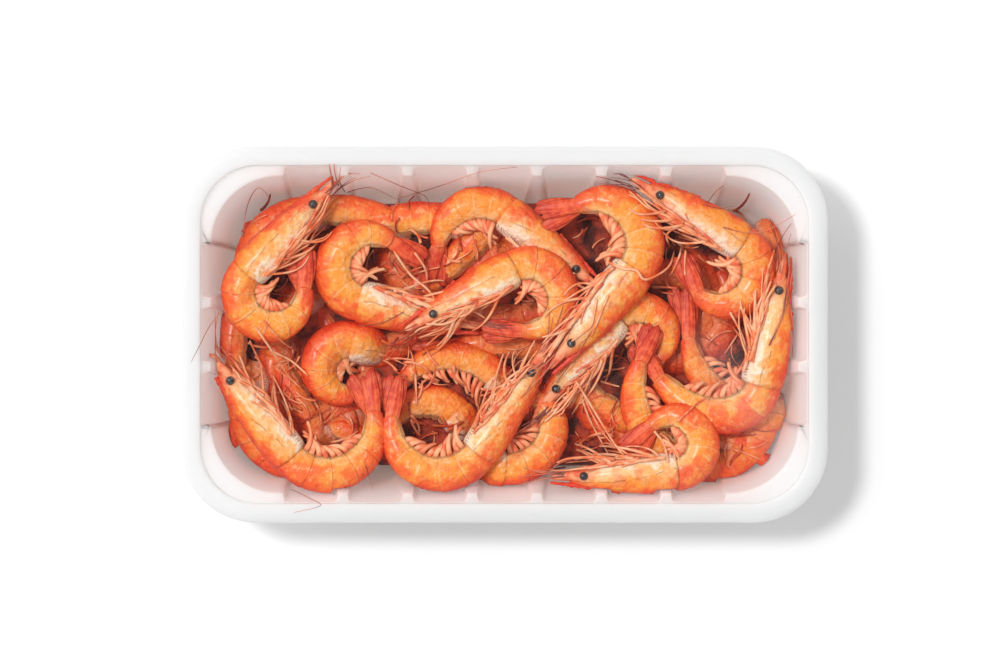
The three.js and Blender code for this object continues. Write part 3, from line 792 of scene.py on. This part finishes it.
LOWER = [
    under("a", -17.2, -28, 21.5, -50, 110, 0.85, tail=0.62, tone=0.15),
    under("b", -89.9, -21, 22, 80, 110, 0.92, tone=0.4),
    under("c", -70.8, 41.9, 22, 5, 110, 0.88, tone=0.35),
    under("d", -42.6, 39.5, 22, -25, 50, 0.8, tone=0.1),
    under("e", -19, 39.8, 21.5, -10, 40, 0.82),
    under("f", 90.6, -28.7, 20.5, 80, -100, 0.86, tone=0.4),
    under("g", -94, 6, 22.5, 80, 20, 0.72, tone=0.4),
    under("h", -65.6, -33.9, 19.5, -55, -15, 0.7, tone=0.5),
    under("i", -51.5, -36.5, 19.5, -30, 10, 0.62, tail=0.4, tone=0.3),
    under("j", -4.5, 38.5, 20.5, 43, 4, 0.82, tail=0.86, tone=0.2),
    under("k", 28, -21, 20, 145, 15, 0.75, tone=0.2),
    under("l", 17.6, -4.7, 20.5, -10, 20, 0.8, tone=0.5),
    under("m", 94, 30, 20.5, 110, -40, 0.75, tone=0.5),
    under("n", 80.5, -37.5, 22, 150, -6, 0.66, tail=0.3, fan=8, tone=0.5),
]
# backs of shrimp that stand out of the bed in the gaps, by number: x, y, heading, bend
DEEP_BACKS = {0: (-71, 12, 20, 160), 1: (-80, -8, 70, 120), 2: (-38, 24, 100, 150),
              3: (-22, 26, 30, 120), 4: (-55, -31, 20, -120), 6: (-33, 2, 60, -140),
              7: (12, -24, 190, 100), 8: (30, -24, 110, 140), 9: (42, -34, 220, 100),
              10: (67, 22, 130, -120), 12: (3, 30, 10, 120), 14: (-75, -26, 150, 130),
              15: (60, -8, 180, 120), 16: (-8, 6, 170, 60), 17: (75, 8, 290, 110)}
# their strong deep red tone is painted shade of the gaps they lie in, over their own redness
for number, (x, y, heading, bend) in DEEP_BACKS.items():
    LOWER.append(under(f"deep_{number:02d}", x, y, DEEP_Z, heading, bend, DEEP_SIZE, tone=0.6,
                       has_fan=False))

BED_ROWS, BED_COLUMNS = 24, 120
# the bed's side from the middle of its underside out and up: share of the floor, height
BED_SIDE = [(0, 1.6), (0.5, 1.6), (0.93, 1.6), (0.98, 3.5), (1, 6), (1.01, 11), (1, 15), (0.975, 17.5),
            (0.95, 18.5)]


def bed_place(i, j):
    """Out under the bed, up its side and back in over the top, which is rough."""
    top = len(BED_SIDE) - 1
    if i <= top:
        share, z = BED_SIDE[i]
    else:
        share, z = 0.95 * (1 - (i - top) / (BED_ROWS - top)), BED_TOP - 0.6
    angle = 2 * math.pi * j / BED_COLUMNS
    c, d = math.cos(angle), math.sin(angle)
    reach = 1 / ((abs(c) ** 5 + abs(d) ** 5) ** 0.2)
    x, y = FLOOR[0] * share * reach * c, FLOOR[1] * share * reach * d
    if z > 12:
        z += 2.2 * noise.noise(Vector((x, y, 0)) * 0.11) - 0.8
    return (x, y, z)


bm = bmesh.new()
skin(bm, BED_ROWS, BED_COLUMNS, bed_place)
# the bed's dark red-brown is painted shade: shrimp lying deep in the gaps
bed_dark = clouded("bed_dark", (0.07, 0.008, 0.004), (0.50, 0.055, 0.02), (150, 4), (0.38, 0.62),
                   **{"Roughness": 0.5, "Specular IOR Level": 0.2})
bed_dark.relief(bed_dark.grain(420, 4), 0.0012)
bed = settle("lower_bed", bm, [bed_dark.material])
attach(bed, "root")
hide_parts("lower_layer")
pieces.append(bed)

for s in LOWER:
    piece = whole("lower_shrimp_" + s.name, s)
    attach(piece, "root")
    pieces.append(piece)

# -------------------- swimming legs
# Five pairs of soft flaps under each tail, pink-orange strips that curve forward into the curl.


def tube(bm, route, width, thick=1, columns=6, slot=0):
    """A thin strip or strand along a route of points in mm, tapered by `width(t)`."""
    rows = len(route) - 1

    def place(i, j):
        here = route[i]
        ahead = (route[min(i + 1, rows)] - route[max(i - 1, 0)]).normalized()
        across = ahead.cross(Vector((0, 0, 1)))
        across = across.normalized() if across.length > 0.05 else Vector((1, 0, 0))
        over = across.cross(ahead)
        angle = 2 * math.pi * j / columns
        r = 0 if i in (0, rows) else width(i / rows)
        return here + across * r * math.cos(angle) + over * r * thick * math.sin(angle)

    skin(bm, rows, columns, place, slot, keep=Vector)


def swimmerets(bm, s, chance):
    """Five pairs under one tail, each flap in two leaves."""
    for k in range(5):
        start, end = TAIL_SHAPE[k][0], TAIL_SHAPE[k + 1][0]
        for leaf, (way, reach, share) in enumerate([(1, 1, 0.3), (1, 0.82, 0.75), (-1, 0.9, 0.5)]):
            run = -blend(start, end, share) * s.length
            middle, along, back, side = s.spine(run)
            depth, thick, _ = s.girth(run)
            long = (11.0 - 1.0 * k) * s.size * reach * chance.uniform(0.85, 1.12)
            bend = chance.uniform(0.35, 0.95)
            root = middle - back * depth * 0.70 + side * way * thick * 0.5
            route = []
            for i in range(15):
                t = i / 14
                turn = bend * t
                step = -back * math.cos(turn) * long * t - along * math.sin(turn) * long * t
                bow = 1.3 * math.sin(math.pi * t) - way * 1.6 * t
                route.append(root + step + side * bow)
            tube(bm, route, lambda t: (1.2 - 0.65 * t) * s.size, thick=0.5, columns=8, slot=leaf % 2)


flap = Finish("flap_pink", **{"Roughness": 0.42, "Specular IOR Level": 0.35,
                              "Subsurface Weight": 0.1, "Subsurface Scale": 0.001})
tone = flap.grain(160, 2)
run, turn = flap.skin()
flap.coat((0.84, 0.17, 0.05), ((0.97, 0.42, 0.20), tone.rise(0.35, 0.6)),
          ((0.50, 0.045, 0.02), (1 - run.rise(0, 0.25)) * 0.5),
          ((0.93, 0.5, 0.3), turn.bump_at(0.25, 0.12) * run.rise(0.1, 0.4) * 0.5))
flap.relief(flap.grain(1200, 2), 0.00012)

chance = random.Random(11)
bm = bmesh.new()
for s in SHRIMPS:
    swimmerets(bm, s, chance)
piece = settle("swimming_legs", bm, [flap.material, horn.material])
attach(piece, "root")

# -------------------- walking legs and feelers
# Thin jointed legs folded forward under each head, and hair-thin feelers. They lie on the shrimp
# and the tray wherever they fall, under the film.

surface_points, surface_faces = [], []
for piece in pieces + [tray]:
    base = len(surface_points)
    surface_points += [v.co / MM for v in piece.data.vertices]
    surface_faces += [[base + k for k in face.vertices] for face in piece.data.polygons]
surface = bvhtree.BVHTree.FromPolygons(surface_points, surface_faces)


def top_at(x, y, ceiling):
    hit = surface.ray_cast(Vector((x, y, ceiling)), Vector((0, 0, -1)))[0]
    return hit.z if hit else BED_TOP


def smooth_route(points, steps):
    """A smooth curve through the points."""
    out = []
    spans = len(points) - 1
    for i in range(steps + 1):
        at = spans * i / steps
        k = min(int(at), spans - 1)
        t = at - k
        p = [points[min(max(k + d, 0), spans)] for d in (-1, 0, 1, 2)]
        out.append(eased(t, p[1], (p[2] - p[0]) / 2, p[2], (p[3] - p[1]) / 2))
    return out


def laid(flat_points, radius, ceiling, steps=24, slack=0.15):
    """A strand laid over what is under it, taut between the high spots."""
    route = smooth_route([Vector((x, y, 0)) for x, y in flat_points], steps)
    reach = radius + 0.5
    around = [(0, 0), (reach, 0), (-reach, 0), (0, reach), (0, -reach)]
    ground = []
    for p in route:
        highest = max(top_at(p.x + dx, p.y + dy, ceiling) for dx, dy in around)
        ground.append(min(highest + radius, RIM_HEIGHT + 0.1))
    height = list(ground)
    for _ in range(60):
        for i in range(1, len(height) - 1):
            level = (height[i - 1] + height[i + 1]) / 2 - slack * 0.1
            height[i] = max(ground[i], level)
    return [Vector((p.x, p.y, z)) for p, z in zip(route, height)]


def walking_legs(bm, s, chance):
    """Strands from the belly of the head shell, drawn together towards the front."""
    neck, _, back, _ = s.spine(0)
    forward = bearing(s.head)
    for k in range(13):
        base = chance.uniform(3, 30) * s.size
        far = min(base + chance.uniform(15, 27) * s.size, 51 * s.size)
        start = s.girth(base)[0] * chance.uniform(0.62, 0.9)
        end = chance.uniform(1.5, 6.5) * s.size
        bow = chance.uniform(-0.8, 2.6)
        flat = []
        for i in range(7):
            t = i / 6
            out = blend(start, end, t) + bow * math.sin(math.pi * t) + chance.uniform(-0.35, 0.35)
            p = neck + forward * blend(base, far, t) - back * out
            flat.append((p.x, p.y))
        thick = chance.uniform(0.32, 0.85)
        tube(bm, laid(flat, thick, s.z + 6, steps=22), lambda t: thick * (1 - 0.55 * t), slot=k % 3)
    for k in range(7):
        base = chance.uniform(5, 32) * s.size
        start = s.girth(base)[0] * 0.75
        out, ahead = chance.uniform(2, 9) * s.size, chance.uniform(9, 22) * s.size
        knee, sway = chance.uniform(0.9, 2.2), chance.uniform(-1.5, 1.5)
        flat = []
        for i in range(6):
            t = i / 5
            p = neck + forward * (base + ahead * t + sway * math.sin(4 * t))
            p -= back * (start + out * math.sin(knee * t))
            flat.append((min(max(p.x, -94), 94), min(max(p.y, -46), 46)))
        thick = chance.uniform(0.4, 0.8)
        tube(bm, laid(flat, thick, s.z + 6, steps=18), lambda t: thick * (1 - 0.6 * t),
             slot=0 if k % 3 else 2)


pale_leg = clouded("pale_leg", (0.90, 0.24, 0.08), (0.97, 0.50, 0.29), (200, 2), (0.35, 0.6),
                   **{"Roughness": 0.42, "Specular IOR Level": 0.35, "Subsurface Weight": 0.1,
                      "Subsurface Scale": 0.001})
pale_leg.relief(pale_leg.grain(1500, 2), 0.0001)
LEG_FINISHES = [pale_leg.material, horn.material, flap.material, fan_red.material]

chance = random.Random(5)
bm = bmesh.new()
for s in SHRIMPS:
    if not s.covered:
        walking_legs(bm, s, chance)

# legs that stick out on their own: their bends, and their half thickness
LONE_LEGS = [
    ([(34.5, 26), (41.1, 23), (45.9, 22.3), (49.2, 19.1), (57, 23.3), (59.6, 29.6)], 0.55),
    ([(62.4, 31.4), (60.3, 25.4), (57.9, 20.6)], 0.45),
    ([(63.3, 29.6), (62.9, 25), (63, 20.6)], 0.45),
    ([(63.3, 39.8), (56.7, 35), (57.9, 30.8)], 0.45),
    ([(32.1, 12.8), (30.5, 4), (28.5, 1.5), (23.1, -2.6)], 0.5),
    ([(36.2, 14), (33, 6), (30, -1)], 0.45),
    ([(-38.8, 29.4), (-33, 21), (-27.3, 16.2), (-24.5, 12.7)], 0.5),
    ([(-31.5, 28.7), (-27.5, 22.4), (-27.3, 15.5)], 0.45),
    ([(-39.8, 25.2), (-33.9, 16.9), (-27.3, 16.2)], 0.45),
    ([(26.4, -20.2), (30, -30), (36.5, -42)], 0.45),
    ([(24.7, -15.8), (31.5, -27), (38.3, -38), (43.5, -44.5)], 0.45),
    ([(26, -18), (33.5, -33), (40.5, -41)], 0.35),
    ([(52.2, -33.7), (55.6, -38.3), (57, -44.9)], 0.5),
    ([(54.3, -34.4), (57.7, -37.6), (59.5, -43.5)], 0.5),
    ([(56.3, -36), (58.5, -40), (61, -43.5)], 0.45),
    ([(-87, 3), (-81, -6), (-76, -14), (-71, -19)], 0.45),
    ([(-89, -2), (-84.5, -12), (-80, -19)], 0.4),
    ([(-84, 5), (-77, -3), (-72, -6)], 0.4),
    ([(-82.5, -5.5), (-75, -9), (-68.5, -14.5)], 0.5),
    ([(60, -30.5), (66, -25), (70, -22)], 0.4),
    ([(78.5, 8), (83.5, -2), (84, -12)], 0.45),
    ([(82, 10), (87, 0), (86.5, -10)], 0.45),
    ([(80, 3), (84.5, -6), (80.5, -14)], 0.4),
]
for flat, thick in LONE_LEGS:
    tube(bm, laid(flat, thick, RIM_HEIGHT - 2), lambda t: thick * (1 - 0.4 * t),
         slot=0 if thick > 0.4 else 1)

# broken legs and bits that fill the gaps down to the lower layer
GAP_TRIES, GAP_CEILING = 1100, 26
for _ in range(GAP_TRIES):
    x, y = chance.uniform(-88, 88), chance.uniform(-44, 44)
    heading, long = chance.uniform(0, 2 * math.pi), chance.uniform(5, 12)
    bend = chance.uniform(-0.8, 0.8)
    flat = []
    for i in range(6):
        turn = heading + bend * i / 5
        flat.append((x + long * i / 5 * math.cos(turn), y + long * i / 5 * math.sin(turn)))
    if any(top_at(*p, RIM_HEIGHT - 1) > GAP_CEILING for p in flat):
        continue
    thick = chance.uniform(0.25, 0.65)
    tube(bm, laid(flat, thick, GAP_CEILING + 3, steps=14), lambda t: thick * (1 - 0.5 * t), columns=5,
         slot=chance.choice((1, 1, 1, 2, 3, 3)))
piece = settle("walking_legs", bm, LEG_FINISHES)
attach(piece, "root")

# hair-thin feelers, each where it lies: its points, and its half thickness
FEELERS = [
    ([(-91.5, 34), (-90.8, 42), (-88.5, 48.5), (-85.5, 51.2), (-82.6, 48.2)], 0.2),
    ([(-38.1, 47.5), (-22.4, 52), (-8.5, 56.5), (4.7, 58.3)], 0.16),
    ([(-47, 56.5), (-36.5, 52), (-28, 48.6), (-26.5, 45.5)], 0.16),
    ([(-55, 49.8), (-47, 51.5), (-38.1, 47.5)], 0.16),
    ([(-98.2, 8.5), (-102.5, 3.3), (-105.9, -3.6), (-109, -9.6)], 0.17),
    ([(-74.6, -54), (-68, -57), (-64, -59.5), (-73.5, -62)], 0.16),
    ([(70.8, 46), (74, 50), (76.5, 52)], 0.18),
    ([(69, 45.5), (75, 44), (80.5, 45.2)], 0.16),
    ([(76, 37.5), (84, 35.5), (91, 36.2), (101.5, 41.9)], 0.2),
    ([(94.5, 28.5), (97.2, 34.2), (100, 38.8)], 0.2),
    ([(99.3, 12), (100.7, 2), (100.5, -8.2)], 0.2),
    ([(-60, 51.5), (-60.5, 56), (-61, 59.3)], 0.35),
    ([(-58, 52), (-59, 56), (-59.3, 59.5)], 0.3),
    ([(-56, 50), (-57.5, 53.5), (-57, 58.5)], 0.25),
    ([(-48.5, -45.4), (-47, -50), (-46.1, -54.1)], 0.16),
    ([(-99, -8.5), (-101, 0), (-100, 8)], 0.18),
    ([(-97.5, -10), (-96.5, 0), (-97.5, 9)], 0.18),
    ([(92, -4), (96.5, 6), (99, 20), (99.8, 27.5)], 0.3),
    ([(94, 0), (98.3, 10), (100.5, 23)], 0.25),
    ([(40, 56), (44, 54), (49, 50.5)], 0.2),
    ([(38.5, 54), (43.5, 52.5), (49, 49)], 0.18),
    ([(18, -17), (24, -9), (29, -1), (33, 5)], 0.22),
    ([(-35, 8), (-43, 4), (-52, 3)], 0.18),
    ([(33, 41.5), (28, 44), (24.5, 46.5)], 0.18),
]
hair = clouded("feeler_brown", (0.26, 0.05, 0.035), (0.74, 0.22, 0.12), (60, 1), (0.4, 0.6), Roughness=0.5)
bm = bmesh.new()
for flat, thick in FEELERS:
    tube(bm, laid(flat, thick, RIM_HEIGHT + 1, steps=36, slack=0.05), lambda t: thick * (1 - 0.5 * t),
         columns=5)
for s in SHRIMPS:
    if not s.covered:
        forward = bearing(s.head)
        for _ in range(6):
            start, _, back, _ = s.spine(chance.uniform(42, 45) * s.size)
            start -= back * chance.uniform(0.5, 4) * s.size
            long, drift = chance.uniform(8, 20), chance.uniform(-0.45, 0.3)
            flat = []
            for i in range(6):
                p = start + forward * long * i / 5 + back * drift * long * (i / 5) ** 2
                flat.append((min(max(p.x, -101), 101), min(max(p.y, -54), 56)))
            thick = chance.uniform(0.16, 0.3)
            tube(bm, laid(flat, thick, s.z + 6, steps=20), lambda t: thick * (1 - 0.6 * t), columns=5)
piece = settle("feelers", bm, [hair.material])
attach(piece, "root")

# -------------------- the film
# A clear film drawn flat over the flange. It is almost invisible: a faint haze and soft glints.

FILM_Z, FILM_INSET, FILM_THICKNESS = 42.02, 1.8, 0.3
bm = bmesh.new()
bmesh.ops.create_circle(bm, segments=len(rings[0]), radius=1, cap_ends=True)
for vert, spot in zip(list(bm.verts), tray_ring(grown(OUT, -FILM_INSET), LIP_CORNER - 1.5, FILM_Z)):
    vert.co = spot
lid = bmesh.ops.extrude_face_region(bm, geom=list(bm.faces))["geom"]
bmesh.ops.translate(bm, verts=[g for g in lid if isinstance(g, bmesh.types.BMVert)],
                    vec=(0, 0, FILM_THICKNESS * MM))
film_clear = Finish("film_clear", **{"Base Color": (1, 1, 1), "Roughness": 0.2})
haze = film_clear.grain(14, 3, stretch=(1, 0.45, 1)).rise(0.5, 0.85)
see_through = film_clear.node("ShaderNodeBsdfTransparent")
mixer = film_clear.tree.nodes.new("ShaderNodeMixShader")
# one soft whitish streak runs slantwise over the lower right corner, a painted reflection on the film
across, deep_way, _ = film_clear.parts(film_clear.place())
streak = (across * 0.77 + deep_way * 0.64).bump_at(0.051, 0.014)
streak = streak * (across * 0.64 - deep_way * 0.77).rise(0.035, 0.06)
film_clear.feed(mixer, {0: 0.004 + haze * 0.03 + streak * (0.03 + haze * 0.05), 1: see_through})
film_clear.tree.links.new(film_clear.shader.outputs[0], mixer.inputs[2])
film_clear.tree.links.new(mixer.outputs[0], film_clear.tree.nodes["Material Output"].inputs[0])
film = settle("stretched_film", bm, [film_clear.material], sharp=30)
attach(film, "root")
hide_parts("clear_film")
